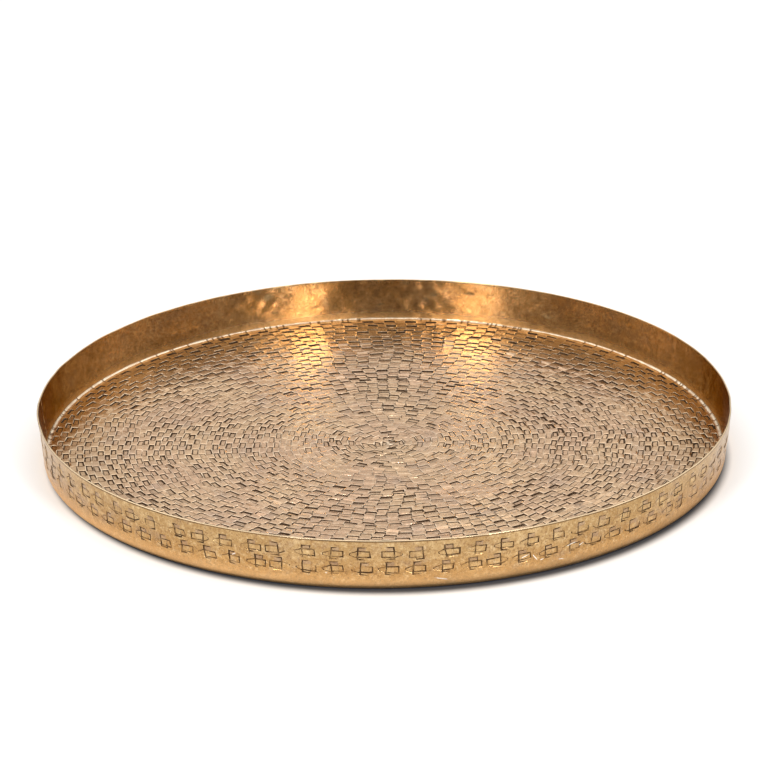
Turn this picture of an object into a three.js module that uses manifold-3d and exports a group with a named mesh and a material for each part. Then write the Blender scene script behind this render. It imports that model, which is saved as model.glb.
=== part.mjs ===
import * as THREE from 'three';
import { mergeVertices } from 'three/addons/utils/BufferGeometryUtils.js';
import Module from 'manifold-3d';

// A round brass tray with a low upright wall, built up from sheet at the bench. The wall is a band
// whose lower edge is rounded and turned in to make a narrow foot. The floor is a disc that lies
// on the foot. A run of braze fills the crevice between the disc and the band and makes a small
// fillet in the inside corner, and an upright brazed seam joins the two ends of the band.
// Millimetres, +Z up. The origin is the centre of the ring that the tray stands on.

// Driving dimensions
const rimRadius = 200;                            // outside of the wall, at the rim
const trayHeight = 29.2;                          // table to rim
const wallLean = THREE.MathUtils.degToRad(5.5);   // how far the wall leans outwards
const wallSheet = 1.0;                            // thickness of the band
const floorSheet = 1.2;                           // thickness of the disc
const bendRadius = 3.0;                           // outside radius of the rounded lower edge
const footWidth = 3.2;                            // flat part of the turned-in foot
const rimBevel = 0.3;                             // sharpness taken off both edges of the rim
const filletRise = 1.5;                           // height of the braze fillet above the floor
const seamWidth = 1.0;                            // width of the braze between the band's ends
const jointGap = 0.3;                             // clearance between neighbouring pieces

// How finely round things are divided
const ringSides = 96;
const bendSteps = 5;
const filletSteps = 4;

const brassWall = new THREE.MeshStandardMaterial({ color: 0xc69a5c, roughness: 0.34, metalness: 1 });
const brassFloor = new THREE.MeshStandardMaterial({ color: 0xc9a380, roughness: 0.42, metalness: 1 });
const brazeBright = new THREE.MeshStandardMaterial({ color: 0xead9b4, roughness: 0.28, metalness: 1 });
const brazeDull = new THREE.MeshStandardMaterial({ color: 0xb98f52, roughness: 0.45, metalness: 1 });

// The lower bend turns about one centre, placed so that the leaning wall meets the rim radius.
const bendRise = trayHeight - bendRadius * (1 - Math.sin(wallLean));
const bendCentre = new THREE.Vector2(
  rimRadius - bendRadius * Math.cos(wallLean) - bendRise * Math.tan(wallLean),
  bendRadius,
);
const footInnerRadius = bendCentre.x - footWidth;
const floorRadius = bendCentre.x - jointGap;
const floorBottom = wallSheet + jointGap;
const floorTop = floorBottom + floorSheet;

const wasm = await Module();
wasm.setup();

// A surface of revolution about +Z. The profile is a list of (radius, height) points that starts
// and ends on the axis, or is closed on itself here.
function revolve(profile) {
  const closed = profile[0].x > 0 ? [...profile, profile[0]] : profile;
  const geometry = new THREE.LatheGeometry(closed, ringSides);
  geometry.rotateX(Math.PI / 2);
  return geometry;
}

function toSolid(geometry) {
  const bare = geometry.clone();
  bare.deleteAttribute('normal');
  bare.deleteAttribute('uv');
  const merged = mergeVertices(bare, 1e-4);
  return new wasm.Manifold(new wasm.Mesh({
    numProp: 3,
    vertProperties: new Float32Array(merged.attributes.position.array),
    triVerts: new Uint32Array(merged.index.array),
  }));
}

function toGeometry(solid) {
  const mesh = solid.getMesh();
  const geometry = new THREE.BufferGeometry();
  geometry.setAttribute('position', new THREE.BufferAttribute(mesh.vertProperties, 3));
  geometry.setIndex(new THREE.BufferAttribute(mesh.triVerts, 1));
  geometry.computeVertexNormals();
  return geometry;
}

function named(name, geometry, material) {
  const mesh = new THREE.Mesh(geometry, material);
  mesh.name = name;
  return mesh;
}

// Points round the lower bend, on the face that lies `depth` under the band's outer skin,
// from the foot up to where the straight wall starts.
function bendArc(depth) {
  const radius = bendRadius - depth;
  const sweep = Math.PI / 2 - wallLean;
  const points = [];
  for (let step = 0; step <= bendSteps; step++) {
    const turn = (sweep * step) / bendSteps;
    points.push(new THREE.Vector2(
      bendCentre.x + radius * Math.sin(turn),
      bendCentre.y - radius * Math.cos(turn),
    ));
  }
  return points;
}

// Radius of that same face on the straight wall, at a height.
function wallRadius(depth, height) {
  const radius = bendRadius - depth;
  const startHeight = bendCentre.y - radius * Math.sin(wallLean);
  return bendCentre.x + radius * Math.cos(wallLean) + (height - startHeight) * Math.tan(wallLean);
}

// Cross-section of the band: foot, rounded edge, wall and bevelled rim, down again on the inside.
function bandProfile() {
  const rimOutside = wallRadius(0, trayHeight);
  const rimInside = wallRadius(wallSheet, trayHeight);
  const shoulder = trayHeight - rimBevel;
  return [
    new THREE.Vector2(footInnerRadius, 0),
    ...bendArc(0),
    new THREE.Vector2(wallRadius(0, shoulder), shoulder),
    new THREE.Vector2(rimOutside - rimBevel, trayHeight),
    new THREE.Vector2(rimInside + rimBevel, trayHeight),
    new THREE.Vector2(wallRadius(wallSheet, shoulder), shoulder),
    ...bendArc(wallSheet).reverse(),
    new THREE.Vector2(footInnerRadius, wallSheet),
  ];
}

// A block across the band on the -X side, as wide as asked and taller than the tray.
function seamBlock(width) {
  const block = new THREE.BoxGeometry(rimRadius, width, 3 * trayHeight);
  block.translate(-rimRadius, 0, 0);
  return toSolid(block);
}

function makeWallBand() {
  const ring = toSolid(revolve(bandProfile()));
  return named('wall_band', toGeometry(ring.subtract(seamBlock(seamWidth + 2 * jointGap))), brassWall);
}

function makeBandSeam() {
  const ring = toSolid(revolve(bandProfile()));
  return named('band_seam', toGeometry(ring.intersect(seamBlock(seamWidth))), brazeDull);
}

function makeFloorDisc() {
  const profile = [
    new THREE.Vector2(0, floorBottom),
    new THREE.Vector2(floorRadius, floorBottom),
    new THREE.Vector2(floorRadius, floorTop),
    new THREE.Vector2(0, floorTop),
  ];
  return named('floor_disc', revolve(profile), brassFloor);
}

// The braze stands in the crevice between the disc's edge and the band's inner face. Its back
// follows the band, a clearance away, and its front is a hollow quarter-round.
function makeCornerBraze() {
  const backDepth = wallSheet + jointGap;
  const innerRadius = floorRadius + jointGap;
  const topHeight = floorTop + filletRise;
  const back = bendArc(backDepth).filter((point) => point.y < topHeight);
  back.push(new THREE.Vector2(wallRadius(backDepth, topHeight), topHeight));
  const reach = back[back.length - 1].x - innerRadius;
  const front = [];
  for (let step = 1; step <= filletSteps; step++) {
    const turn = (Math.PI / 2) * (1 - step / filletSteps);
    front.push(new THREE.Vector2(
      innerRadius + reach * Math.sin(turn),
      topHeight - filletRise * Math.cos(turn),
    ));
  }
  return named('corner_braze', revolve([...back, ...front]), brazeBright);
}

const tray = new THREE.Group();
tray.name = 'brass_tray';
tray.add(makeWallBand(), makeBandSeam(), makeFloorDisc(), makeCornerBraze());

export default tray;
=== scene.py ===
"""The looks of a round brass tray with a punched floor and wall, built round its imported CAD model.

Every new piece is a skin of rings worked out with numpy: each ring is a closed row of points round
the upright axis, rows lie one after another along the metal's section, and neighbouring rows with
different numbers of points are zipped together with triangles. Lengths are in millimetres until a
skin is made into a mesh, which is in metres.
"""

import math

import bpy
import numpy as np
from mathutils import Matrix, Vector


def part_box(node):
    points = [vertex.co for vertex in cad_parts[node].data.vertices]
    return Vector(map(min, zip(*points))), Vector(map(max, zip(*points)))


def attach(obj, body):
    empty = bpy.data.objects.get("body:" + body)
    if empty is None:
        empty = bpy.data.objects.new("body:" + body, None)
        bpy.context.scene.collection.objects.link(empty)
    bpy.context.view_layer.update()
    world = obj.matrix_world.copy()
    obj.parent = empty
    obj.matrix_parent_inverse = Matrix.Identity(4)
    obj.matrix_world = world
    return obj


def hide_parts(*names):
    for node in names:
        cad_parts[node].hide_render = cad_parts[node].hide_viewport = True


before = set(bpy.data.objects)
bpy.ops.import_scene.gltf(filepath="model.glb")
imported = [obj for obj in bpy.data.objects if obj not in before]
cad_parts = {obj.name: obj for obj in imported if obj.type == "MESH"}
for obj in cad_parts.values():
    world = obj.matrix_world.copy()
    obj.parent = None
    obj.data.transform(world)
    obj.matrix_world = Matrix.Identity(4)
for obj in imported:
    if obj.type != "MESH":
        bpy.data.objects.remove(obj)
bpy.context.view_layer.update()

MM = 0.001
TURN = 2 * math.pi


def corners_mm(node):
    """The lowest and the highest corner of a CAD node, in millimetres."""
    return [np.array(corner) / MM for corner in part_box(node)]


BAND_HIGH = corners_mm("wall_band")[1]
DISC_HIGH = corners_mm("floor_disc")[1]
BRAZE_HIGH = corners_mm("corner_braze")[1]
SEAM_LOW, SEAM_HIGH = corners_mm("band_seam")

# The wall band's section, as it is cut in the CAD model, with the rim rounded over.
RIM_RADIUS = BAND_HIGH[0]
TRAY_HEIGHT = BAND_HIGH[2]
WALL_SHEET = 1.0
BEND_RADIUS = 3.0
WALL_LEAN = math.radians(5.5)
FOOT_WIDTH = 3.2
RIM_ROUND = 0.42
RIM_SHOULDER = TRAY_HEIGHT - RIM_ROUND
BEND_CENTRE = (
    RIM_RADIUS
    - BEND_RADIUS * math.cos(WALL_LEAN)
    - (TRAY_HEIGHT - BEND_RADIUS * (1 - math.sin(WALL_LEAN))) * math.tan(WALL_LEAN)
)
FOOT_INNER = BEND_CENTRE - FOOT_WIDTH

# The floor disc. Its underside comes down to the foot, through the film of solder.
DISC_RADIUS = DISC_HIGH[0]
FLOOR_TOP = DISC_HIGH[2]
SOLDER_FILM = 0.02
FLOOR_BOTTOM = WALL_SHEET + SOLDER_FILM

# The flat punch and how its marks are laid out on the floor. The sides of the rings take turns at
# three depths, and the corners of a mark stay between a least and a most.
PUNCH_LENGTH = 6.6
PUNCH_WIDTH = 2.9
PUNCH_STEP = 0.18
RINGS = 52
FIRST_RING = 4.4
FIRST_COUNT = 3
EDGE_MARGIN = 0.55
CLOSEST_MARKS = 12.4
WIDEST_MARKS = 14.9
CENTRE_SHIFT = (3.5, -7.0)
SIDE_DEPTHS = [0.20, 0.31, 0.48]
LEAST_CORNER, MOST_CORNER = 0.02, 0.62
PILLOW_RISE = 0.06
PILLOW_SHARES = (0.15, 0.85)
SWELLING_SHARE = 0.55
SWELLING_SPREAD = 0.7

# The crossed marks on the wall: half the length and half the width of each flat strike and of
# each upright one, the depth at its middle, and how much deeper its low side goes.
FLAT_LONG, FLAT_SHORT = 5.5, 1.95
UPRIGHT_LONG, UPRIGHT_SHORT = 3.7, 2.2
FLAT_DEPTH, FLAT_TILT = 0.15, 0.05
UPRIGHT_DEPTH, UPRIGHT_TILT = 0.14, 0.16
LEAST_STRIKE, MOST_STRIKE = 0.008, 0.38
CROSS_STEP = 0.20
CROSS_SHARES = (1 / 3, 2 / 3)
TIP_TAPER = 0.35
UPPER_CROSSES = 84
LOWER_CROSSES = 88
UPPER_HEIGHT = 0.720 * TRAY_HEIGHT
LOWER_HEIGHT = 0.415 * TRAY_HEIGHT
PLAIN_BELOW = 5.1

# The nicks that the punch has left in the braze.
NICKS = 150
NICK_DEPTH = 0.16
NICK_LENGTH = 0.55

# How finely things are divided.
DISC_EDGE_SIDES = 480
INNER_SIDES = 1080
OUTER_SIDES = 720
BRAZE_SIDES = 1440
INNER_BEND_ROWS, OUTER_BEND_ROWS = 6, 8
INNER_WALL_ROWS, SEAM_WALL_ROWS = 27, 24
RIM_ROWS = 7
FILLET_ROWS = 9
SEAM_COLUMNS = 9


def ripples(seed, wavelength, x, y, z=0.0, waves=20):
    """Smooth random relief, about -1 to 1: a sum of plane waves with random directions and phases
    and with lengths within a third of the one asked for, over the root of half their number."""
    rng = np.random.default_rng(seed)
    total = np.zeros(np.broadcast(x, y, z).shape)
    for _ in range(waves):
        heading = rng.normal(size=3)
        heading *= TURN / (wavelength * rng.uniform(0.75, 1.33) * np.linalg.norm(heading))
        total += np.sin(x * heading[0] + y * heading[1] + z * heading[2] + rng.uniform(0, TURN))
    return total / math.sqrt(waves / 2)


def ease(low, high, value):
    """0 below low, 1 above high, and the cubic 3t^2 - 2t^3 between."""
    t = np.clip((value - low) / (high - low), 0, 1)
    return t * t * (3 - 2 * t)


def around(sides):
    """Angles of evenly spaced columns all the way round."""
    return np.arange(sides) * TURN / sides


def polar(radius, angle, height):
    """Points from a radius, an angle and a height, all arrays of one shape."""
    radius, angle, height = np.broadcast_arrays(radius, angle, height)
    return np.stack([radius * np.cos(angle), radius * np.sin(angle), height], axis=-1)


# Marks are worked out in arrays of marks, columns and rows, and then laid out by rows.


def per_mark(values):
    """One value for each mark, shaped to go with arrays of marks, columns and rows."""
    return values[:, None, None]


def into_space(values, shares, once_round=0.0):
    """Values at the columns in the space after each mark: straight steps, at the given shares of
    the way, to the next mark. After the last comes the first, plus what a full turn adds."""
    last = values[:, -1:]
    following = np.roll(values[:, :1], -1, axis=0)
    following[-1] += once_round
    return last + np.array(shares)[:, None] * (following - last)


def by_rows(array):
    """From marks, columns, rows to rows, columns all round."""
    marks, columns, rows = array.shape[:3]
    return np.moveaxis(array, 2, 0).reshape((rows, marks * columns) + array.shape[3:])


class RingSkin:
    """A closed skin of rings. A strip is a grid of points, rows by columns, whose columns go round
    the axis. Rows follow one another so that the row direction crossed with the turning direction
    points out of the metal. Each corner of a face carries its own pattern coordinates, and faces
    without any of their own take the joint's."""

    def __init__(self, joint):
        self.joint = np.array(joint, dtype=float)
        self.maps = len(joint) // 2
        self.points, self.faces, self.coords = [], [], []
        self.values = {}
        self.size = 0
        self.first = self.last = None

    def add_faces(self, faces, coords=None):
        if coords is None:
            coords = np.broadcast_to(self.joint, faces.shape + (2 * self.maps,))
        self.faces.append(faces)
        self.coords.append(coords)

    def zip_rows(self, inner, outer):
        """Joins two rings of points of any two sizes. Going round, each new point on either ring
        makes a triangle with the point before it and the other ring's latest point."""
        (a, a_angle), (b, b_angle) = inner, outer
        a_order, b_order = np.argsort(a_angle % TURN), np.argsort(b_angle % TURN)
        a, a_angle = a[a_order], a_angle[a_order] % TURN
        b, b_angle = b[b_order], b_angle[b_order] % TURN
        partner = b[np.searchsorted(b_angle, a_angle, side="left") - 1]
        self.add_faces(np.stack([np.roll(a, 1), partner, a], axis=1))
        partner = a[np.searchsorted(a_angle, b_angle, side="right") - 1]
        self.add_faces(np.stack([np.roll(b, 1), b, partner], axis=1))

    def add_strip(self, points, angles, left=None, right=None, **values):
        """Adds rows of quads and zips them to the strip before. Left and right are the pattern
        coordinates at the two sides of each column of faces. Values go on the points."""
        rows, columns = points.shape[:2]
        index = self.size + np.arange(rows * columns).reshape(rows, columns)
        beside = np.roll(index, -1, axis=1)
        quads = np.stack([index[:-1], index[1:], beside[1:], beside[:-1]], axis=-1)
        coords = None
        if left is not None:
            coords = np.stack([left[:-1], left[1:], right[1:], right[:-1]], axis=-2)
            coords = coords.reshape(-1, 4, 2 * self.maps)
        self.points.append(points.reshape(-1, 3))
        self.size += rows * columns
        for name in self.values.keys() | values.keys():
            done = self.values.setdefault(name, [np.zeros(index[0, 0])])
            done.append(np.ravel(values.get(name, np.zeros((rows, columns)))))
        if self.last is None:
            self.first = (index[0], angles)
        else:
            self.zip_rows(self.last, (index[0], angles))
        self.add_faces(quads.reshape(-1, 4), coords)
        self.last = (index[-1], angles)

    def add_pole(self, point, ring, at_start):
        """Closes a ring with a fan of triangles to one point on the axis."""
        row, angles = ring
        row = row[np.argsort(angles % TURN)]
        centre = np.full(len(row), self.size)
        self.points.append(np.reshape(point, (1, 3)))
        self.size += 1
        for done in self.values.values():
            done.append(np.zeros(1))
        before = np.roll(row, 1)
        fan = [before, row, centre] if at_start else [before, centre, row]
        self.add_faces(np.stack(fan, axis=1))

    def make(self, name, sharp_degrees=None, crease=None):
        """Puts the skin into a mesh object, with its values as attributes on the points and its
        pattern coordinates as UV maps. Edges are sharp from an angle on, or, with a crease value,
        where that value is above nothing at both ends."""
        mesh = bpy.data.meshes.new(name)
        corners = np.concatenate([f.ravel() for f in self.faces])
        sizes = np.concatenate([np.full(len(f), f.shape[1]) for f in self.faces])
        points = np.concatenate(self.points) * MM
        mesh.vertices.add(len(points))
        mesh.vertices.foreach_set("co", points.ravel())
        mesh.loops.add(len(corners))
        mesh.loops.foreach_set("vertex_index", corners.astype(np.int32))
        mesh.polygons.add(len(sizes))
        mesh.polygons.foreach_set("loop_start", np.concatenate([[0], np.cumsum(sizes)[:-1]]))
        mesh.update(calc_edges=True)
        for value_name, parts in self.values.items():
            layer = mesh.attributes.new(value_name, "FLOAT", "POINT")
            layer.data.foreach_set("value", np.concatenate(parts).astype(np.float32))
        coords = np.concatenate([c.reshape(-1, 2 * self.maps) for c in self.coords])
        for number in range(self.maps):
            layer = mesh.uv_layers.new(name=f"pattern_{number}")
            pair = coords[:, 2 * number:2 * number + 2]
            layer.uv.foreach_set("vector", pair.ravel().astype(np.float32))
        if crease:
            ends = np.zeros(2 * len(mesh.edges), dtype=np.int32)
            mesh.edges.foreach_get("vertices", ends)
            marked = np.concatenate(self.values[crease])[ends.reshape(-1, 2)] > 0
            sharp = mesh.attributes.new("sharp_edge", "BOOLEAN", "EDGE")
            sharp.data.foreach_set("value", marked.all(axis=1))
        return finish_piece(mesh, sharp_degrees)


def finish_piece(mesh, sharp_degrees=None):
    """Shades a mesh smooth, but for edges that turn more than an angle, and shows it."""
    mesh.polygons.foreach_set("use_smooth", np.ones(len(mesh.polygons), dtype=bool))
    if sharp_degrees:
        mesh.set_sharp_from_angle(angle=math.radians(sharp_degrees))
    piece = bpy.data.objects.new(mesh.name, mesh)
    bpy.context.scene.collection.objects.link(piece)
    return piece


def stand_in_for(piece, node, material):
    """The piece takes a CAD node's place, rides on the tray and wears a material."""
    piece.data.materials.append(material)
    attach(piece, "root")
    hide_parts(node)


# ---------------------------------------------------------------- the floor disc


def ring_layout(rng):
    """Radius, number of marks and starting angle of each ring. A ring keeps the number of the one
    inside it, turned by half a space so that its marks fall between that ring's, until they would
    stand too far apart. Then it starts again with close marks."""
    last_ring = DISC_RADIUS - EDGE_MARGIN - PUNCH_WIDTH / 2 - PUNCH_STEP
    count, start = FIRST_COUNT, 0.0
    layout = []
    for radius in np.linspace(FIRST_RING, last_ring, RINGS):
        start += TURN / count / 2 + rng.normal(0, 0.035) * TURN / count
        if TURN * radius / count > WIDEST_MARKS:
            count = round(TURN * radius / CLOSEST_MARKS)
            start = rng.uniform(0, TURN)
        layout.append((radius, count, start))
    return layout


def punching(radius, angle):
    """How firmly the punch was struck at a place: more firmly outwards, wandering over the floor,
    and lightly in one irregular band round the middle."""
    x, y = radius * np.cos(angle), radius * np.sin(angle)
    force = 0.66 + 0.36 * ease(15, 100, radius)
    force = force + 0.13 * ripples(11, 75, x, y) + 0.12 * ripples(12, 26, x, y)
    band_radius, band_sway, band_width = 60, 8, 9
    off_band = (radius - band_radius - band_sway * np.sin(angle + 0.6)) / band_width
    force -= 0.40 * np.exp(-off_band ** 2) * (0.7 + 0.5 * np.sin(angle - 2.4))
    return np.clip(force, 0.3, 1.3)


def settle(points):
    """Moves floor points sideways as hand work does: the rings stand a little off the tray's
    centre and wander, less and less towards the edge, and the sheet is not quite flat."""
    x, y = points[..., 0], points[..., 1]
    inward = 1 - np.clip(np.hypot(x, y) / DISC_RADIUS, 0, 1) ** 2
    steady = ease(0, 0.09, inward)
    moved = points.copy()
    moved[..., 0] += CENTRE_SHIFT[0] * inward
    moved[..., 1] += CENTRE_SHIFT[1] * inward
    moved[..., 0] += steady * (0.8 * ripples(21, 42, x, y) + 0.16 * ripples(25, 7, x, y))
    moved[..., 1] += steady * (0.8 * ripples(22, 42, x, y) + 0.16 * ripples(26, 7, x, y))
    moved[..., 2] += steady * (0.10 * ripples(23, 90, x, y) + 0.05 * ripples(24, 30, x, y))
    return moved


def draw_marks(radius, count, start, digs, rng):
    """The random choices for one ring of marks: where each stands, its size and twist, how deep
    its four corners go, and its tone. The two depths in digs are for the ring's inner and outer
    side: where one is deep, the marks' edges join into a line that runs on round the tray."""
    centre = start + TURN / count * (np.arange(count) + rng.uniform(-0.035, 0.035, count))
    snug = min(1.0, radius / 16)
    half_length = PUNCH_LENGTH / 2 * (0.75 + 0.25 * snug) * rng.uniform(0.92, 1.06, count)
    twist = np.radians(rng.normal(0, 1.6, count)).clip(-0.05, 0.05)
    force = punching(radius, centre)
    end = rng.choice([-1, 1]) * rng.uniform(0.0, 0.05) + rng.normal(0, 0.04, count)
    side = digs + rng.normal(0, 0.08, (count, 2))
    corner = side[:, None, :] + per_mark(end) * np.array([-1, 1])[:, None]
    corner = np.clip(corner, LEAST_CORNER, MOST_CORNER) * per_mark(force)
    return centre, half_length, twist, corner, rng.uniform(-1, 1, count)


def punched_strip(radius, marks):
    """The upper face of one ring. Each mark is a sunk facet with a narrow step all round it, and
    the metal between two marks is a low pillow. Six columns to a mark: the step and facet at its
    left, the same at its right, and two for the pillow. Rows run outwards."""
    centre, half_length, twist, corner, strike = marks
    count = len(centre)
    half_width = PUNCH_WIDTH / 2
    outer = half_width + PUNCH_STEP
    rows_at = np.array([-outer, -half_width, half_width, outer])
    end = half_length + PUNCH_STEP
    x = np.stack([-end, -half_length, half_length, end], 1)[:, :, None] * np.ones(4)
    y = rows_at * np.ones((count, 4, 1))
    cosine, sine = np.cos(per_mark(twist)), np.sin(per_mark(twist))
    angle = per_mark(centre) + (x * cosine - y * sine) / radius
    reach = radius + x * sine + y * cosine
    pillow_reach = radius + rows_at * np.array([1, 0.5, 0.5, 1]) * np.ones((count, 2, 1))
    angle = np.concatenate([angle, into_space(angle, PILLOW_SHARES, TURN)], 1)
    reach = np.concatenate([reach, pillow_reach], 1)
    depth, dirt, rise, tone = np.zeros((4, count, 6, 4))
    depth[:, 1:3, 1:3] = corner
    dirt[:, :4] = corner[:, [0, 0, 1, 1]][:, :, [0, 0, 1, 1]]
    rise[:, 4:, 1:3] = PILLOW_RISE
    tone[:, :4] = per_mark(strike)

    edge = PUNCH_LENGTH / 2
    outside = edge + PUNCH_STEP
    beyond = outside + 2
    left_u = np.array([-outside, -edge, edge, outside, beyond, beyond])
    right_u = np.array([-edge, edge, outside, beyond, beyond, outside])
    grid = np.ones((count, 6, 4))
    left = np.stack([left_u[:, None] * grid, rows_at * grid], -1)
    right = np.stack([right_u[:, None] * grid, rows_at * grid], -1)

    points = settle(polar(by_rows(reach), by_rows(angle), FLOOR_TOP + by_rows(rise - depth)))
    values = {"sunk": by_rows(depth), "dirt": by_rows(dirt), "strike": by_rows(tone)}
    return points, by_rows(angle).mean(axis=0), by_rows(left), by_rows(right), values


def raised_strip(radius, marks):
    """The underside of the same ring, where each mark shows as a soft low swelling: four columns
    and three rows to a mark, with the middle ones pushed down. Rows run inwards."""
    centre, half_length, _, corner, _ = marks
    end, middle = half_length + SWELLING_SPREAD, half_length * 0.5
    spread = np.stack([-end, -middle, middle, end], 1)
    angle = np.ravel(centre[:, None] + spread / radius)
    swell = np.zeros((len(centre), 4))
    swell[:, 1:3] = SWELLING_SHARE * corner.mean(axis=2)
    reach = PUNCH_WIDTH / 2 + PUNCH_STEP
    rows = np.array([radius + reach, radius, radius - reach])[:, None]
    drop = np.array([0, 1, 0])[:, None] * np.ravel(swell)
    return settle(polar(rows, angle, FLOOR_BOTTOM - drop)), angle, drop


def make_floor_disc():
    """The punched disc, from the middle of its upper face, over the edge, to the middle of its
    underside."""
    rng = np.random.default_rng(5)
    layout = ring_layout(rng)
    digs = rng.permuted(np.tile(SIDE_DEPTHS, (RINGS // 3 + 1, 1)), axis=1).ravel()
    rings = [
        (radius, draw_marks(radius, count, start, digs[number:number + 2], rng))
        for number, (radius, count, start) in enumerate(layout)
    ]
    skin = RingSkin(joint=(0, PUNCH_WIDTH / 2 + PUNCH_STEP + 0.2))
    for radius, marks in rings:
        points, angles, left, right, values = punched_strip(radius, marks)
        skin.add_strip(points, angles, left, right, **values)
    edge_angles = around(DISC_EDGE_SIDES)
    edge_profile = [
        (DISC_RADIUS - 0.45, FLOOR_TOP),
        (DISC_RADIUS - 0.10, FLOOR_TOP - 0.10),
        (DISC_RADIUS, FLOOR_TOP - 0.4),
        (DISC_RADIUS, FLOOR_BOTTOM + 0.3),
        (DISC_RADIUS - 0.3, FLOOR_BOTTOM),
    ]
    edge = np.stack([polar(radius, edge_angles, height) for radius, height in edge_profile])
    skin.add_strip(edge, edge_angles)
    for radius, marks in reversed(rings):
        points, angles, swelling = raised_strip(radius, marks)
        skin.add_strip(points, angles, swelling=swelling)
    skin.add_pole(settle(np.array([0.0, 0.0, FLOOR_TOP + 0.02])), skin.first, at_start=True)
    skin.add_pole(settle(np.array([0.0, 0.0, FLOOR_BOTTOM])), skin.last, at_start=False)
    return skin.make("punched_floor", crease="sunk")


# ---------------------------------------------------------------- the wall band


def wall_radius(depth, height):
    """Radius of the face that lies a depth under the band's outer skin, on the straight wall."""
    radius = BEND_RADIUS - depth
    straight_from = BEND_RADIUS - radius * math.sin(WALL_LEAN)
    return BEND_CENTRE + radius * math.cos(WALL_LEAN) + (height - straight_from) * math.tan(WALL_LEAN)


def bend_arc(depth, rows):
    """Radius and height round the lower bend at that depth, from the foot up to the wall."""
    turn = np.linspace(0, math.pi / 2 - WALL_LEAN, rows)
    radius = BEND_RADIUS - depth
    return BEND_CENTRE + radius * np.sin(turn), BEND_RADIUS - radius * np.cos(turn)


def rim_arc():
    """Radius and height over the rounded rim, from the inner face to the outer one."""
    over = np.linspace(0, math.pi, RIM_ROWS)
    middle = (wall_radius(0, RIM_SHOULDER) + wall_radius(WALL_SHEET, RIM_SHOULDER)) / 2
    return middle - WALL_SHEET / 2 * np.cos(over), RIM_SHOULDER + RIM_ROUND * np.sin(over)


def dents(angle, height, inside):
    """How far the wall is pushed in or out at a place. The whole wall is a little out of round,
    soft dents cross it from hand hammering, and the inside shows them more than the outside.
    Everything fades out at the foot, which the floor holds true."""
    x, y, z = RIM_RADIUS * np.cos(angle), RIM_RADIUS * np.sin(angle), height * 1.0
    free = ease(1.0, 9.0, height)
    shape = 0.16 * ripples(31, 260, x, y) - 0.10
    soft = 0.13 * ripples(32, 48, x, y, 1.4 * z) + 0.075 * ripples(33, 19, x, y, 1.2 * z)
    crumpled = ease(0.1, 0.9, ripples(34, 70, x, y)) * inside
    sharp = 0.085 * crumpled * ripples(35, 8.5, x, y, z)
    pushed = free * (shape + soft + sharp)
    room = RIM_RADIUS - 0.01 - (wall_radius(0, height) + pushed)
    return pushed + np.minimum(room, 0)


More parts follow.
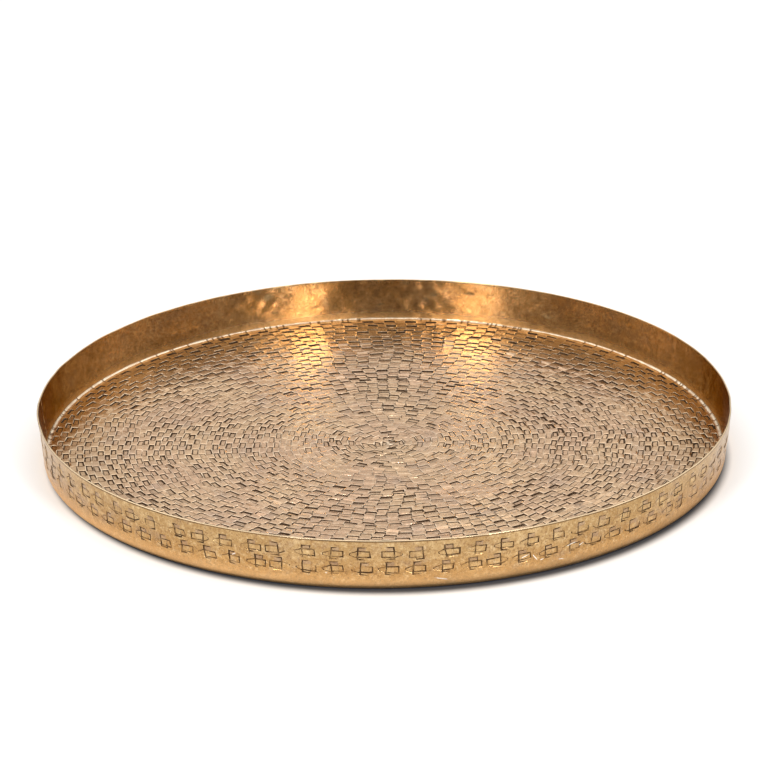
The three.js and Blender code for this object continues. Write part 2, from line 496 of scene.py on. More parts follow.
class Crosses:
    """One row of crossed marks: the random choices for each. A cross is a flat strike and an
    upright one. Its hand is the side that the upright lies towards, right on most. The flat strike
    is a little deeper on that side and narrows to a tip at its other end."""

    def __init__(self, count, height, seed):
        rng = np.random.default_rng(seed)
        self.count, self.height = count, height
        self.space = TURN / count
        self.start = rng.uniform(0, TURN)
        self.centre = self.start + self.space * (np.arange(count) + rng.uniform(-0.06, 0.06, count))
        drift = ripples(43, 150, RIM_RADIUS * np.cos(self.centre), RIM_RADIUS * np.sin(self.centre))
        self.lift = 0.35 * drift + rng.uniform(-0.08, 0.08, count)
        self.twist = np.radians(rng.uniform(-2.5, 2.5, count))
        self.slant = rng.normal(0, 0.07, count).clip(-0.14, 0.14)
        self.hand = np.where(rng.uniform(size=count) < 0.85, 1, -1)
        self.side = self.hand * rng.uniform(0.0, 1.4, count)
        self.shift = rng.uniform(0.35, 0.85, count)
        firm = rng.uniform(0.55, 1.3, (4, count))
        self.flat = (
            FLAT_DEPTH * firm[0],
            self.hand * FLAT_TILT / FLAT_LONG * firm[1],
            rng.normal(0, 0.06 / FLAT_SHORT, count),
        )
        self.upright = (
            UPRIGHT_DEPTH * firm[2],
            rng.normal(0, 0.07 / UPRIGHT_LONG, count),
            self.hand * -UPRIGHT_TILT / UPRIGHT_SHORT * firm[3],
        )

    def strip(self):
        """The grid over the row, rows running down. Each cross has eight rows and ten columns, at
        both sides of each step of the two strikes, and two columns in the space after it. The
        columns slant a little, all edges wobble, and a flat strike narrows at its tip."""
        ones = np.ones(self.count)
        flat_end, flat_side = FLAT_LONG + CROSS_STEP, FLAT_SHORT + CROSS_STEP
        upright_end, upright_side = UPRIGHT_LONG + CROSS_STEP, UPRIGHT_SHORT + CROSS_STEP
        columns = np.stack([
            -flat_end * ones, -FLAT_LONG * ones, self.side - upright_side, self.side - UPRIGHT_SHORT,
            self.side + UPRIGHT_SHORT, self.side + upright_side, FLAT_LONG * ones, flat_end * ones,
        ], axis=1)
        rows = np.stack([
            self.shift + upright_end, self.shift + UPRIGHT_LONG, flat_side * ones, FLAT_SHORT * ones,
            -FLAT_SHORT * ones, -flat_side * ones, self.shift - UPRIGHT_LONG, self.shift - upright_end,
        ], axis=1)
        x = columns[:, :, None] * np.ones(8)
        y = rows[:, None, :] * np.ones((8, 1))
        from_side, from_shift = x - per_mark(self.side), y - per_mark(self.shift)
        slack = 1e-6
        in_flat = (np.abs(x) < FLAT_LONG + slack) & (np.abs(y) < FLAT_SHORT + slack)
        in_upright = (np.abs(from_side) < UPRIGHT_SHORT + slack) & (np.abs(from_shift) < UPRIGHT_LONG + slack)
        flat_depth = self.plane(self.flat, x, y) * in_flat
        upright_depth = self.plane(self.upright, from_shift, from_side) * in_upright
        depths = np.stack([np.maximum(flat_depth, upright_depth), flat_depth, upright_depth], -1)
        cosine, sine = np.cos(per_mark(self.twist)), np.sin(per_mark(self.twist))
        tip = (x * per_mark(self.hand) < slack - FLAT_LONG) & (np.abs(y) < flat_side + slack)
        tapered_y = y * np.where(tip, TIP_TAPER, 1)
        turned_x = x * cosine - tapered_y * sine + y * per_mark(self.slant)
        turned_y = x * sine + tapered_y * cosine + per_mark(self.lift)
        arc = per_mark(self.centre) * RIM_RADIUS + turned_x
        height = self.height + turned_y
        angle = (arc + 0.20 * ripples(44, 7, arc, height)) / RIM_RADIUS
        height = height + 0.13 * ripples(45, 9, arc, height)
        return self.with_spaces(x, y, angle, height, depths)

    def plane(self, strike, along, across):
        """Depth of a tilted strike, never less than a trace."""
        middle, along_slope, across_slope = (per_mark(value) for value in strike)
        return np.clip(middle + along_slope * along + across_slope * across, LEAST_STRIKE, MOST_STRIKE)

    def with_spaces(self, x, y, angle, height, depths):
        """Adds the two columns between each cross and the next, and lays all out by rows."""
        angle = by_rows(np.concatenate([angle, into_space(angle, CROSS_SHARES, TURN)], 1))
        height = by_rows(np.concatenate([height, into_space(height, CROSS_SHARES)], 1))
        depths = by_rows(np.concatenate([depths, np.zeros((self.count, 2, 8, 3))], 1))
        x = np.concatenate([x, x[:, 7:] + np.array([2.0, 4.0])[:, None]], 1)
        y = np.concatenate([y, y[:, :1], y[:, :1]], 1)
        x_after = np.concatenate([x[:, 1:], x[:, -1:] + 2.0], 1)
        y_after = np.concatenate([y[:, 1:], y[:, -1:]], 1)
        side, shift = per_mark(self.side), per_mark(self.shift)
        left = np.stack([x, y, x - side, y - shift], -1)
        right = np.stack([x_after, y_after, x_after - side, y_after - shift], -1)
        radius = wall_radius(0, height) - depths[..., 0] + dents(angle, height, 0)
        values = {"flat_dirt": depths[..., 1], "upright_dirt": depths[..., 2]}
        return polar(radius, angle, height), angle.mean(axis=0), by_rows(left), by_rows(right), values

    def behind(self, angle, height):
        """The swelling that the flat strikes leave on the inside of the wall: a low hump, longer
        than it is high, behind each."""
        place = (angle - self.start) / self.space
        nearest = np.round(place).astype(int) % self.count
        off = (angle - self.centre[nearest] + TURN / 2) % TURN - TURN / 2
        x = off * RIM_RADIUS
        y = height - self.height - self.lift[nearest]
        return self.flat[0][nearest] * np.exp(-(x / 3.0) ** 2 - (y / 1.0) ** 2)


def make_wall_band(rows_of_crosses):
    """The band: up its inner face, over the rim, down through the two rows of crosses, round the
    bend and along under the foot, and back over the foot's inner edge."""
    upper, lower = rows_of_crosses
    skin = RingSkin(joint=(50, 50, 50, 50))

    inner_angles = around(INNER_SIDES)
    arc_radius, arc_height = bend_arc(WALL_SHEET, INNER_BEND_ROWS)
    wall_heights = np.linspace(arc_height[-1], RIM_SHOULDER, INNER_WALL_ROWS)[1:]
    rim_radius, rim_height = rim_arc()
    under_rim = TRAY_HEIGHT - np.array([0.75, 1.1])
    radii = np.concatenate([
        arc_radius, wall_radius(WALL_SHEET, wall_heights), rim_radius[1:], wall_radius(0, under_rim),
    ])
    heights = np.concatenate([arc_height, wall_heights, rim_height[1:], under_rim])
    row = np.arange(len(radii))
    rim_from = len(arc_radius) + len(wall_heights)
    inside = (row < rim_from)[:, None] * 1.0
    # Rows over the rim's top: wear with a painted highlight.
    rubbed = np.interp(row, rim_from + np.array([-1, 1, 4, 5]), [0, 1, 1, 0])[:, None]
    # Rows under the rim's outer roll: painted shade.
    shaded = np.interp(row, rim_from + np.array([4, 5, 6, 7]), [0, 1, 1, 0])[:, None]
    angle = inner_angles * np.ones((len(radii), 1))
    height = heights[:, None] * np.ones(len(inner_angles))
    humps = (upper.behind(angle, height) + lower.behind(angle, height)) * inside
    radius = radii[:, None] + dents(angle, height, inside) - 0.9 * humps
    across = {"inner": inside, "rubbed": rubbed, "rim_dirt": shaded}
    values = {name: value * np.ones(len(inner_angles)) for name, value in across.items()}
    skin.add_strip(polar(radius, angle, height), inner_angles, **values)

    for crosses in (upper, lower):
        points, angles, left, right, values = crosses.strip()
        skin.add_strip(points, angles, left, right, **values)

    outer_angles = around(OUTER_SIDES)
    arc_radius, arc_height = bend_arc(0, OUTER_BEND_ROWS)
    plain_heights = np.linspace(LOWER_HEIGHT - PLAIN_BELOW, arc_height[-1], 4)[:-1]
    foot_radius = [FOOT_INNER + 0.2, FOOT_INNER, FOOT_INNER, FOOT_INNER + 0.2]
    foot_height = [0, 0.2, WALL_SHEET - 0.2, WALL_SHEET]
    radii = np.concatenate([wall_radius(0, plain_heights), arc_radius[::-1], foot_radius])
    heights = np.concatenate([plain_heights, arc_height[::-1], foot_height])
    angle = outer_angles * np.ones((len(radii), 1))
    height = heights[:, None] * np.ones(len(outer_angles))
    radius = radii[:, None] + dents(angle, height, 0)
    skin.add_strip(polar(radius, angle, height), outer_angles)
    skin.zip_rows(skin.last, skin.first)
    return skin.make("punched_wall", sharp_degrees=26)


# ---------------------------------------------------------------- the braze


def make_corner_braze():
    """The run of braze in the inside corner. Its section is a closed loop: a hollow quarter-round
    front between a toe on the floor and a lip on the wall, and a back sunk in the crevice. Toe and
    lip wander, and the punch has nicked the front here and there."""
    angle = around(BRAZE_SIDES)
    x, y = RIM_RADIUS * np.cos(angle), RIM_RADIUS * np.sin(angle)
    wander = 0.16 * ripples(51, 30, x, y) + 0.10 * ripples(52, 9, x, y)
    lip = BRAZE_HIGH[2] + 0.25 + 0.14 * ripples(53, 24, x, y) + 0.07 * ripples(54, 7, x, y)
    toe = DISC_RADIUS - 0.25 + 0.8 * wander
    rng = np.random.default_rng(55)
    nick_at = np.sort(rng.uniform(0, TURN, NICKS))
    off = np.abs((angle[:, None] - nick_at + TURN / 2) % TURN - TURN / 2).min(axis=1) * RIM_RADIUS
    nick = NICK_DEPTH * np.exp(-(off / NICK_LENGTH) ** 2)
    wall = wall_radius(WALL_SHEET, lip) + dents(angle, lip, 1.0)
    turn = np.linspace(0, math.pi / 2, FILLET_ROWS)[:, None]
    hollow = np.sin(2 * turn)
    front_radius = toe + (wall + 0.12 - toe) * np.sin(turn) + nick * hollow
    front_height = lip - (lip - FLOOR_TOP - 0.02) * np.cos(turn) - nick * hollow
    level = np.ones(BRAZE_SIDES)
    back = [
        (wall + 0.3, lip - 0.2),
        ((BRAZE_HIGH[0] - 0.1) * level, (FLOOR_TOP - 0.3) * level),
        (DISC_RADIUS * level, (FLOOR_TOP - 0.5) * level),
        (toe + 0.1, (FLOOR_TOP - 0.35) * level),
    ]
    radius = np.concatenate([front_radius, [radius for radius, _ in back]])
    height = np.concatenate([front_height, [height for _, height in back]])
    nicked = nick / nick.max() * np.ones((len(radius), 1))
    skin = RingSkin(joint=(50, 50))
    skin.add_strip(polar(radius, angle, height), angle, nicked=nicked)
    skin.zip_rows(skin.last, skin.first)
    return skin.make("corner_fillet", sharp_degrees=50)


def make_band_seam():
    """The upright seam: a slice of the band's own section, filed almost flush. Across its width it
    stands proud in the middle and sinks into the band at both sides, by a parabola."""
    across = np.linspace(-1, 1, SEAM_COLUMNS)
    outer_arc, outer_arc_height = bend_arc(0, OUTER_BEND_ROWS)
    inner_arc, inner_arc_height = bend_arc(WALL_SHEET, INNER_BEND_ROWS)
    outer_heights = np.linspace(RIM_SHOULDER, outer_arc_height[-1], SEAM_WALL_ROWS)[:-1]
    inner_heights = np.linspace(inner_arc_height[-1], RIM_SHOULDER, SEAM_WALL_ROWS)[1:]
    rim_radius, rim_height = rim_arc()
    radius = np.concatenate([
        wall_radius(0, outer_heights), outer_arc[::-1], [FOOT_INNER, FOOT_INNER],
        inner_arc, wall_radius(WALL_SHEET, inner_heights), rim_radius[1:-1],
    ])
    height = np.concatenate([
        outer_heights, outer_arc_height[::-1], [0.0, WALL_SHEET],
        inner_arc_height, inner_heights, rim_height[1:-1],
    ])
    count = len(radius)
    along_radius = np.roll(radius, -1) - np.roll(radius, 1)
    along_height = np.roll(height, -1) - np.roll(height, 1)
    length = np.hypot(along_radius, along_height)
    out_radius, out_height = -along_height / length, along_radius / length
    outside = np.arange(count) < len(outer_heights) + len(outer_arc)
    inside = (~outside) * (height > inner_arc_height[-1])
    pushed = dents(np.full(count, math.pi), height, inside * 1.0)
    proud = (0.09 * (1 - across ** 2) - 0.05)[:, None]
    half_width = (SEAM_HIGH[1] - SEAM_LOW[1]) / 2 + 0.25
    ragged = 1 + 0.18 * ripples(61, 6, height, radius * 0.0)
    points = np.stack([
        -(radius + pushed + proud * out_radius),
        -across[:, None] * half_width * ragged,
        np.clip(height + proud * out_height, 0, TRAY_HEIGHT),
    ], axis=-1)
    index = np.arange(SEAM_COLUMNS * count).reshape(SEAM_COLUMNS, count)
    beside = np.roll(index, -1, axis=1)
    quads = np.stack([index[:-1], beside[:-1], beside[1:], index[1:]], -1).reshape(-1, 4)
    ends = [index[0, ::-1].tolist(), index[-1].tolist()]
    mesh = bpy.data.meshes.new("band_seam_bead")
    mesh.from_pydata((points.reshape(-1, 3) * MM).tolist(), [], quads.tolist() + ends)
    return finish_piece(mesh, sharp_degrees=50)


# ---------------------------------------------------------------- materials


class NodeTree:
    """Short forms for building nodes. A socket's value is a number or another node's output."""

    def __init__(self, tree):
        self.tree = tree

    def node(self, kind, **settings):
        made = self.tree.nodes.new(kind)
        for key, value in settings.items():
            setattr(made, key, value)
        return made

    def fill(self, made, **values):
        """Sets a node's sockets, by name or, with an underscore, by number."""
        for name, value in values.items():
            socket = made.inputs[int(name[1:])] if name[0] == "_" else made.inputs[name]
            if isinstance(value, bpy.types.NodeSocket):
                self.tree.links.new(value, socket)
            else:
                socket.default_value = value
        return made

    def maths(self, operation, first, second=0.0, third=0.0, clamp=False):
        made = self.node("ShaderNodeMath", operation=operation, use_clamp=clamp)
        return self.fill(made, _0=first, _1=second, _2=third).outputs[0]

    def vector(self, operation, first, **others):
        made = self.node("ShaderNodeVectorMath", operation=operation)
        return self.fill(made, _0=first, **others).outputs

    def split(self, vector):
        return self.fill(self.node("ShaderNodeSeparateXYZ"), _0=vector).outputs

    def between(self, value, low, high, to_low=0.0, to_high=1.0):
        """A smooth change from one number to another as a value goes from low to high."""
        made = self.node("ShaderNodeMapRange", interpolation_type="SMOOTHSTEP")
        limits = {"From Min": low, "From Max": high, "To Min": to_low, "To Max": to_high}
        return self.fill(made, Value=value, **limits).outputs["Result"]


# The noises of aged metal from coarse to fine: clouds, drift, mottle, grain and fine pitting, each
# with its detail and its roughness.
AGED_NOISES = ((3, 0.6), (4, 0.65), (5, 0.65), (5, 0.7), (3, 0.6))


class Finish(NodeTree):
    """A metal finish: a Principled shader and the few node forms that the finishes share."""

    def __init__(self, name, colour, roughness, metallic=1.0):
        self.material = bpy.data.materials.new(name)
        self.material.use_nodes = True
        super().__init__(self.material.node_tree)
        self.shader = self.tree.nodes["Principled BSDF"]
        self.shader.inputs["Metallic"].default_value = metallic
        self.shader.inputs["Base Color"].default_value = (*colour, 1)
        self.shader.inputs["Roughness"].default_value = roughness
        self.place = self.node("ShaderNodeTexCoord").outputs["Object"]

    def noise(self, size_mm, detail=4.0, roughness=0.55, stretch=None):
        """Noise whose features are about so many millimetres across, stretched along an axis if
        asked."""
        place = self.place
        if stretch:
            mapping = self.node("ShaderNodeMapping")
            place = self.fill(mapping, Vector=place, Scale=stretch).outputs[0]
        made = self.node("ShaderNodeTexNoise")
        self.fill(made, Vector=place, Scale=1 / (size_mm * MM), Detail=detail, Roughness=roughness)
        return made.outputs["Fac"]

    def aged_noises(self, *sizes_mm):
        return [self.noise(size, *character) for size, character in zip(sizes_mm, AGED_NOISES)]

    def blend(self, amount, first, second):
        """The first colour where the amount is 0, and the second where it is 1."""
        made = self.node("ShaderNodeMix", data_type="RGBA", blend_type="MIX")
        first = (*first, 1) if isinstance(first, tuple) else first
        second = (*second, 1) if isinstance(second, tuple) else second
        self.fill(made, _0=amount, _6=first, _7=second)
        return made.outputs[2]

    def coats(self, colour, *coats):
        """Lays coats over a colour, one after another. Each is an amount and a colour."""
        for amount, coat in coats:
            colour = self.blend(amount, colour, coat)
        return colour

    def attribute(self, name):
        return self.node("ShaderNodeAttribute", attribute_name=name).outputs["Fac"]

    def pattern(self, number):
        """A place's two distances from the middle of its mark, in millimetres."""
        parts = self.split(self.node("ShaderNodeUVMap", uv_map=f"pattern_{number}").outputs[0])
        return parts[0], parts[1]

    def inside_edge(self, pair, half_x, half_y):
        """How far inside a rectangle a place lies, from the nearest side, in millimetres."""
        from_x = self.maths("SUBTRACT", half_x, self.maths("ABSOLUTE", pair[0]))
        from_y = self.maths("SUBTRACT", half_y, self.maths("ABSOLUTE", pair[1]))
        return self.maths("MINIMUM", from_x, from_y)

    def from_axis(self, centre=(0.0, 0.0)):
        """Distance in metres from an upright line, which stands at a centre in millimetres."""
        offset = (-centre[0] * MM, -centre[1] * MM, 0)
        flat = self.vector("MULTIPLY_ADD", self.place, _1=(1, 1, 0), _2=offset)[0]
        return self.vector("LENGTH", flat)[1]

    def bumps(self, *layers):
        """Bumps, each over the one before. Each is a height, a depth in millimetres and a
        strength."""
        normal = None
        for height, depth_mm, strength in layers:
            made = self.node("ShaderNodeBump")
            self.fill(made, Strength=strength, Distance=depth_mm * MM, Height=height)
            if normal:
                self.fill(made, Normal=normal)
            normal = made.outputs[0]
        return normal

    def wear(self, colour, roughness, normal):
        self.fill(self.shader, **{"Base Color": colour, "Roughness": roughness, "Normal": normal})
        return self.material


# The brown patina along the edges of the marks. Colours are linear red, green and blue.
FLOOR_PATINA = (0.055, 0.030, 0.016)
WALL_PATINA = (0.055, 0.028, 0.014)


def floor_finish():
    """Pinkish aged brass: clouds of tan, gold and grey-brown, a warmer brown towards the wall that is a
    painted reflection of the wall's brass, brown patina in the struck edges, pale ridges just outside
    them that are worn bright and carry a painted highlight, fine pitting with painted glints, and a
    little difference in tone from mark to mark."""
    finish = Finish("floor_brass", (0.66, 0.46, 0.31), 0.3)
    finish.shader.inputs["Specular Tint"].default_value = (1.0, 0.92, 0.83, 1)
    clouds, drift, mottle, grain, fine = finish.aged_noises(46, 17, 2.6, 0.9, 0.32)
    # A painted reflection of the wall's warm brass on the floor near it.
    wall_reflection_tint = finish.between(finish.from_axis(), 0.72 * RIM_RADIUS * MM, 0.95 * RIM_RADIUS * MM, 0, 0.75)
    tan, gold, grey_brown = (0.715, 0.468, 0.305), (0.775, 0.533, 0.325), (0.50, 0.375, 0.315)
    pale_gold, umber, shade = (0.86, 0.69, 0.48), (0.42, 0.275, 0.17), (0.36, 0.25, 0.17)
    pitting, painted_glint, reflected_wall_brown = (0.30, 0.19, 0.11), (0.95, 0.82, 0.62), (0.49, 0.335, 0.19)
    colour = finish.coats(
        finish.blend(finish.between(clouds, 0.36, 0.64), tan, gold),
        (finish.between(drift, 0.50, 0.72, 0, 0.55), grey_brown),
        (finish.between(mottle, 0.50, 0.70, 0, 0.40), pale_gold),
        (finish.between(mottle, 0.50, 0.32, 0, 0.40), umber),
        (finish.between(finish.attribute("strike"), -1, 1, 0, 0.25), shade),
        (finish.between(grain, 0.48, 0.34, 0, 0.60), pitting),
        # Painted glints on the grain.
        (finish.between(grain, 0.56, 0.70, 0, 0.65), painted_glint),
        # The painted reflection of the wall.
        (wall_reflection_tint, reflected_wall_brown),
    )

    # A mark's dark line follows its edge. It is wider where the mark is deep and a little narrower
    # # at the mark's ends, and it is ragged with the grain. A pale ridge lies just outside the line: worn
    # # bright metal with a painted highlight.
    ragged = finish.maths("MULTIPLY_ADD", grain, 0.5, -0.25)
    inside = finish.inside_edge(finish.pattern(0), PUNCH_LENGTH / 2, PUNCH_WIDTH / 2)
    end = finish.inside_edge(finish.pattern(0), PUNCH_LENGTH / 2, PUNCH_LENGTH)
    ridge_wear_and_highlight = finish.maths("MULTIPLY", finish.between(inside, -0.18, -0.24), finish.between(inside, -1.3, -0.5))
    ridge_wear_and_highlight = finish.maths("MULTIPLY", ridge_wear_and_highlight, finish.between(mottle, 0.38, 0.54, 0.05, 0.45))
    narrow = finish.between(finish.maths("SUBTRACT", end, inside), 0.0, 0.5, 0.12, 0.0)
    dirt = finish.attribute("dirt")
    line = finish.maths("ADD", finish.maths("ADD", inside, ragged), narrow)
    line = finish.maths("MULTIPLY_ADD", finish.maths("SUBTRACT", dirt, 0.30), -1.15, line)
    line = finish.between(line, 0.27, 0.57, 1.0, 0.0)
    line = finish.maths("MULTIPLY", line, finish.between(inside, -0.26, -0.20))
    patina = finish.maths("MULTIPLY", line, finish.between(dirt, 0.07, 0.20))
    colour = finish.coats(
        colour,
        # The pale ridges: wear with a painted highlight.
        (ridge_wear_and_highlight, (1.0, 0.87, 0.67)),
        (finish.maths("MULTIPLY", patina, 0.97), FLOOR_PATINA),
        (finish.between(finish.attribute("swelling"), 0.02, 0.12, 0, 0.4), (0.80, 0.62, 0.40)),
    )

    rough = finish.between(clouds, 0.3, 0.7, 0.15, 0.22)
    rough = finish.maths("MULTIPLY_ADD", grain, 0.12, rough)
    rough = finish.maths("MULTIPLY_ADD", patina, 0.30, rough)
    normal = finish.bumps((drift, 0.35, 0.25), (mottle, 0.16, 0.35), (grain, 0.10, 0.35), (fine, 0.03, 0.25))
    return finish.wear(colour, rough, normal)


# Bright scuffs on the outside of the wall: angle round the tray from the front in degrees, height,
# length and width in millimetres, and slope in degrees.
SCUFFS = [
    (21.4, 12.6, 4.6, 0.50, 20),
    (23.0, 10.8, 4.8, 0.55, -52),
    (24.2, 8.8, 2.2, 0.60, 15),
    (29.4, 14.0, 5.6, 0.50, 12),
    (31.0, 12.4, 2.6, 0.45, 25),
    (27.6, 6.4, 3.0, 0.50, -8),
    (8.3, 5.6, 7.0, 0.60, -12),
    (-23.5, 14.5, 2.8, 0.50, 30),
    (-9.0, 9.6, 1.6, 0.45, 0),
]


def add_scuffs(finish, height, grain):
    """How much of a scuff there is at a place: ragged ellipses laid out by arc length round the
    wall and by height."""
    parts = finish.split(finish.place)
    forward = finish.maths("MULTIPLY", parts[1], -1.0)
    arc = finish.maths("MULTIPLY", finish.maths("ARCTAN2", parts[0], forward), RIM_RADIUS)
    level = finish.maths("DIVIDE", height, MM)
    flat = finish.fill(finish.node("ShaderNodeCombineXYZ"), _0=arc, _1=level).outputs[0]
    total = 0.0
    for angle, middle, length, width, slope in SCUFFS:
        local = finish.fill(
            finish.node("ShaderNodeMapping", vector_type="TEXTURE"),
            Vector=flat,
            Location=(math.radians(angle) * RIM_RADIUS, middle, 0),
            Rotation=(0, 0, math.radians(slope)),
            Scale=(length / 2, width / 2, 1),
        ).outputs[0]
        reach = finish.maths("MULTIPLY_ADD", grain, 2.4, finish.vector("LENGTH", local)[1])
        total = finish.maths("MAXIMUM", total, finish.between(reach, 1.9, 2.3, 0.95, 0.0))
    outside = finish.maths("SUBTRACT", 1.0, finish.attribute("inner"), clamp=True)
    return finish.maths("MULTIPLY", total, outside)


def cross_line(finish, edge, dirt, ragged):
    """The dark line along one strike's edge: wider where the strike is deep, and none where it is
    too shallow."""
    shallow = finish.maths("MULTIPLY_ADD", dirt, -1.3, 0.17)
    line = finish.maths("ADD", finish.maths("ADD", edge, ragged), shallow)
    line = finish.between(line, 0.35, 0.71, 1, 0)
    line = finish.maths("MULTIPLY", line, finish.between(edge, -0.24, -0.18))
    return finish.maths("MULTIPLY", line, finish.between(dirt, 0.03, 0.12))


def wall_finish():
    """Warmer, yellower brass than the floor, deeper orange low down and darker at a grazing look
    inside: mottled and speckled with painted glints, brown patina along the crossed marks, a dull
    brown on the upright strike above the flat one that is partly patina and partly painted shade, a
    painted highlight where the strikes cross, worn bright with a painted highlight on the rim's top,
    painted shade under the rim's roll, a painted highlight on the lower bend, and painted shade with
    grime at the very foot."""
    finish = Finish("wall_brass", (0.60, 0.38, 0.17), 0.26)
    clouds, drift, mottle, grain, fine = finish.aged_noises(38, 11, 3.2, 0.9, 0.3)
    specks = finish.noise(1.3, 2, 0.5)
    height = finish.split(finish.place)[2]
    low = finish.between(height, 0.002, TRAY_HEIGHT * MM * 0.85, 0.75, 0.0)
    broad = finish.between(clouds, 0.36, 0.64)
    outer = finish.blend(broad, (0.425, 0.262, 0.11), (0.495, 0.325, 0.15))
    outer = finish.blend(low, outer, (0.56, 0.295, 0.095))
    within = finish.blend(broad, (0.58, 0.36, 0.15), (0.66, 0.435, 0.205))
    grazing = finish.blend(finish.attribute("inner"), (1.0, 0.95, 0.90), (0.45, 0.27, 0.17))
    finish.fill(finish.shader, **{"Specular Tint": grazing})
    brown, pale_gold, umber = (0.41, 0.28, 0.17), (0.80, 0.60, 0.33), (0.34, 0.19, 0.07)
    pitting, speck, painted_glint = (0.22, 0.12, 0.05), (0.24, 0.13, 0.06), (0.92, 0.75, 0.48)
    rubbed, rim_dirt = finish.attribute("rubbed"), finish.attribute("rim_dirt")
    colour = finish.coats(
        finish.blend(finish.attribute("inner"), outer, within),
        (finish.between(drift, 0.50, 0.70, 0, 0.6), brown),
        (finish.between(mottle, 0.50, 0.68, 0, 0.45), pale_gold),
        (finish.between(mottle, 0.50, 0.32, 0, 0.48), umber),
        (finish.between(grain, 0.48, 0.34, 0, 0.55), pitting),
        (finish.between(specks, 0.54, 0.68, 0, 0.60), speck),
        # Painted glints on the grain.
        (finish.between(grain, 0.57, 0.70, 0, 0.5), painted_glint),
        # Wear with a painted highlight on the rim's top.
        (finish.maths("MULTIPLY", rubbed, 0.65), (1.0, 0.80, 0.54)),
        # Painted shade under the rim's roll.
        (finish.maths("MULTIPLY", rim_dirt, 0.85), (0.13, 0.07, 0.03)),
    )

    ragged = finish.maths("MULTIPLY_ADD", grain, 0.4, -0.2)
    flat = finish.inside_edge(finish.pattern(0), FLAT_LONG, FLAT_SHORT)
    upright = finish.inside_edge(finish.pattern(1), UPRIGHT_SHORT, UPRIGHT_LONG)
    flat_line = cross_line(finish, flat, finish.attribute("flat_dirt"), ragged)
    upright_line = cross_line(finish, upright, finish.attribute("upright_dirt"), ragged)
    patina = finish.maths("MAXIMUM", flat_line, upright_line)
    patina = finish.maths("MULTIPLY", patina, finish.between(mottle, 0.40, 0.54, 0.45, 1.0))
    struck_flat, struck_upright = finish.between(flat, 0.0, 0.15), finish.between(upright, 0.0, 0.15)
    above = finish.between(finish.pattern(0)[1], FLAT_SHORT, FLAT_SHORT + CROSS_STEP, 0.0, 0.38)
    crossed = finish.maths("MULTIPLY", struck_flat, struck_upright)
    colour = finish.coats(
        colour,
        # Painted shade, with some patina, as a dull brown on the upright strike above the flat one, and a
        # painted highlight where the two strikes cross.
        (finish.maths("MULTIPLY", struck_upright, above), (0.37, 0.26, 0.195)),
        (finish.maths("MULTIPLY", crossed, 0.16), (0.80, 0.57, 0.29)),
        (finish.maths("MULTIPLY", patina, 0.96), WALL_PATINA),
        # A painted highlight low on the bend, strongest near the foot and gone by 11 mm up.
        (finish.between(height, 0.001, 0.011, 0.58, 0.0), (0.98, 0.62, 0.29)),
        # Painted shade with grime in the last millimetre above the table.
        (finish.between(height, 0.0, 0.0012, 0.85, 0.0), (0.10, 0.055, 0.025)),
        (add_scuffs(finish, height, grain), (1.0, 0.95, 0.86)),
    )

    rough = finish.between(clouds, 0.3, 0.7, 0.12, 0.18)
    rough = finish.maths("MULTIPLY_ADD", grain, 0.12, rough)
    rough = finish.maths("MULTIPLY_ADD", patina, 0.30, rough)
    rough = finish.maths("ADD", rough, finish.between(height, 0.0, 0.011, 0.24, 0.0))
    normal = finish.bumps((drift, 0.30, 0.30), (mottle, 0.14, 0.30), (grain, 0.09, 0.35), (fine, 0.03, 0.25))
    return finish.wear(colour, rough, normal)


def fillet_finish():
    """Braze paler than the brass, partly its own tone and partly a painted highlight, worn, with darker
    specks where flux has pitted it, dark in the nicks.
    """
    finish = Finish("fillet_braze", (0.88, 0.76, 0.56), 0.26)
    blotch = finish.noise(6, 4, 0.6)
    grain = finish.noise(0.8, 5, 0.7)
    colour = finish.coats(
        # The pale colours are partly the braze's own and partly a painted highlight.
        finish.blend(finish.between(blotch, 0.38, 0.62), (0.90, 0.75, 0.55), (0.74, 0.55, 0.37)),
        (finish.between(grain, 0.55, 0.72, 0, 0.7), (0.38, 0.25, 0.13)),
        (finish.between(finish.attribute("nicked"), 0.15, 0.70, 0, 0.88), (0.17, 0.095, 0.045)),
    )
    rough = finish.between(grain, 0.3, 0.7, 0.14, 0.30)
    return finish.wear(colour, rough, finish.bumps((blotch, 0.25, 0.4), (grain, 0.10, 0.4)))


def seam_finish():
    """Filed braze: a little redder and duller than the band, with file scratches across it."""
    finish = Finish("seam_braze", (0.74, 0.53, 0.27), 0.38)
    blotch = finish.noise(4, 4, 0.6)
    filing = finish.noise(1.2, 3, 0.6, stretch=(1, 0.15, 4))
    grain = finish.noise(0.7, 5, 0.7)
    colour = finish.coats(
        finish.blend(finish.between(blotch, 0.4, 0.62), (0.76, 0.55, 0.28), (0.62, 0.42, 0.20)),
        (finish.between(grain, 0.5, 0.72, 0, 0.6), (0.30, 0.18, 0.08)),
    )
    rough = finish.between(filing, 0.3, 0.7, 0.30, 0.48)
    return finish.wear(colour, rough, finish.bumps((filing, 0.08, 0.5), (grain, 0.08, 0.4)))


# ---------------------------------------------------------------- studio

# The camera: a long lens, eight rim radii away. Angles are in degrees, the point looked at in
# millimetres above the table.
CAMERA_AWAY = 8.0 * RIM_RADIUS
CAMERA_ELEVATION = 22.97
CAMERA_LENS = 128.6
CAMERA_ROLL = -0.65
LOOK_HEIGHT = 35.8

# The softboxes: azimuth of each from the camera's side and the elevation of both in degrees,
# distance and size in metres, and power in watts.
SOFTBOXES = {"softbox_right": 30, "softbox_left": -34}
SOFTBOX_ELEVATION = 26
SOFTBOX_DISTANCE = 1.7
SOFTBOX_SIZE = (0.36, 0.9)
SOFTBOX_POWER = 13

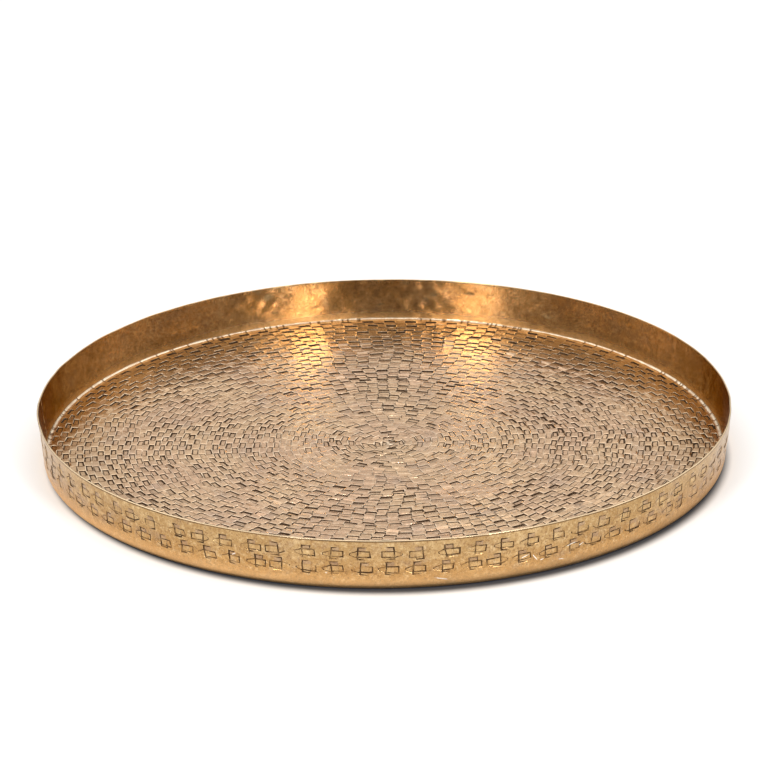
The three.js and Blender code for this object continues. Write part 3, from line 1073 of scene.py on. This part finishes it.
# The table, and the painted shadow of the tray on it: centre, a little to the front, and where it fades out.
TABLE_HALF = 6.0
TABLE_WHITE = (0.93, 0.93, 0.93)
SHADE_CENTRE = (2.0, -6.2)
SHADE_FROM, SHADE_TO = BEND_CENTRE - 2.5, BEND_CENTRE + 5.0
SHADE_COLOUR = (0.035, 0.040, 0.050)


def aim(thing, target):
    """Turns a camera or light to look at a point."""
    direction = Vector(target) - thing.location
    thing.rotation_euler = direction.to_track_quat("-Z", "Y").to_euler()


def from_tray(azimuth, elevation, distance):
    """The place at an azimuth from the camera's side, an elevation and a distance."""
    turn, rise = math.radians(azimuth), math.radians(elevation)
    return (
        distance * math.sin(turn) * math.cos(rise),
        -distance * math.cos(turn) * math.cos(rise),
        distance * math.sin(rise),
    )


def add_camera():
    """Looks a little over the tray, and is turned by a trace of roll."""
    data = bpy.data.cameras.new("camera")
    camera = bpy.data.objects.new("camera", data)
    bpy.context.scene.collection.objects.link(camera)
    camera.location = from_tray(0, CAMERA_ELEVATION, CAMERA_AWAY * MM)
    data.sensor_width = 36
    data.lens = CAMERA_LENS
    aim(camera, (0, 0, LOOK_HEIGHT * MM))
    bpy.context.view_layer.update()
    roll = Matrix.Rotation(math.radians(CAMERA_ROLL), 3, "Z")
    camera.rotation_euler = (camera.rotation_euler.to_matrix() @ roll).to_euler()
    data.clip_start, data.clip_end = 0.05, 50
    bpy.context.scene.camera = camera


def add_softbox(name, azimuth):
    """A rectangular light facing the tray."""
    data = bpy.data.lights.new(name, "AREA")
    data.shape = "RECTANGLE"
    data.size, data.size_y = SOFTBOX_SIZE
    data.energy = SOFTBOX_POWER
    light = bpy.data.objects.new(name, data)
    bpy.context.scene.collection.objects.link(light)
    light.location = from_tray(azimuth, SOFTBOX_ELEVATION, SOFTBOX_DISTANCE)
    aim(light, (0, 0, 0.01))


def add_table():
    """A wide pale table top, matt with a trace of tooth. A shadow is painted into its colour: it
    darkens softly where the tray stands, and a little further to the front."""
    corners = [(x * TABLE_HALF, y * TABLE_HALF, 0) for x, y in ((-1, -1), (1, -1), (1, 1), (-1, 1))]
    mesh = bpy.data.meshes.new("table")
    mesh.from_pydata(corners, [], [(0, 1, 2, 3)])
    table = bpy.data.objects.new("table", mesh)
    bpy.context.scene.collection.objects.link(table)
    finish = Finish("table_white", TABLE_WHITE, 0.7, metallic=0.0)
    tooth = finish.noise(0.5, 3, 0.6)
    # The painted shadow of the tray, darkest near its foot and fading outwards.
    painted_tray_shadow = finish.between(finish.from_axis(SHADE_CENTRE), SHADE_FROM * MM, SHADE_TO * MM, 0.98, 0.0)
    colour = finish.blend(painted_tray_shadow, TABLE_WHITE, SHADE_COLOUR)
    mesh.materials.append(finish.wear(colour, 0.7, finish.bumps((tooth, 0.02, 0.1))))


def add_surroundings():
    """A studio sky, brightest overhead. Lower down it is fairly bright behind the tray, dark on
    the camera's side, and has a soft glow at the left and the right."""
    world = bpy.data.worlds.new("studio")
    bpy.context.scene.world = world
    world.use_nodes = True
    sky = NodeTree(world.node_tree)
    right, back, up = sky.split(sky.node("ShaderNodeTexCoord").outputs["Generated"])
    behind = sky.between(back, -0.35, 0.45, 0.07, 0.88)
    backdrop = sky.maths("MULTIPLY", behind, sky.between(up, 0.05, 0.42, 0.25, 1.0))
    overhead = sky.between(up, 0.35, 0.95, 0.0, 1.0)
    sideways = sky.between(sky.maths("ABSOLUTE", right), 0.50, 0.80, 0.0, 0.36)
    glow = sky.maths("MULTIPLY", sideways, sky.between(back, -0.55, 0.0, 1.0, 0.5))
    strength = sky.maths("ADD", sky.maths("ADD", backdrop, overhead), glow)
    sky.fill(sky.tree.nodes["Background"], Strength=strength, Color=(1.0, 0.985, 0.97, 1))


crosses = (Crosses(UPPER_CROSSES, UPPER_HEIGHT, 41), Crosses(LOWER_CROSSES, LOWER_HEIGHT, 42))
stand_in_for(make_floor_disc(), "floor_disc", floor_finish())
stand_in_for(make_wall_band(crosses), "wall_band", wall_finish())
stand_in_for(make_corner_braze(), "corner_braze", fillet_finish())
stand_in_for(make_band_seam(), "band_seam", seam_finish())

add_table()
add_surroundings()
for softbox, softbox_azimuth in SOFTBOXES.items():
    add_softbox(softbox, softbox_azimuth)
add_camera()
bpy.context.scene.view_settings.view_transform = "Standard"
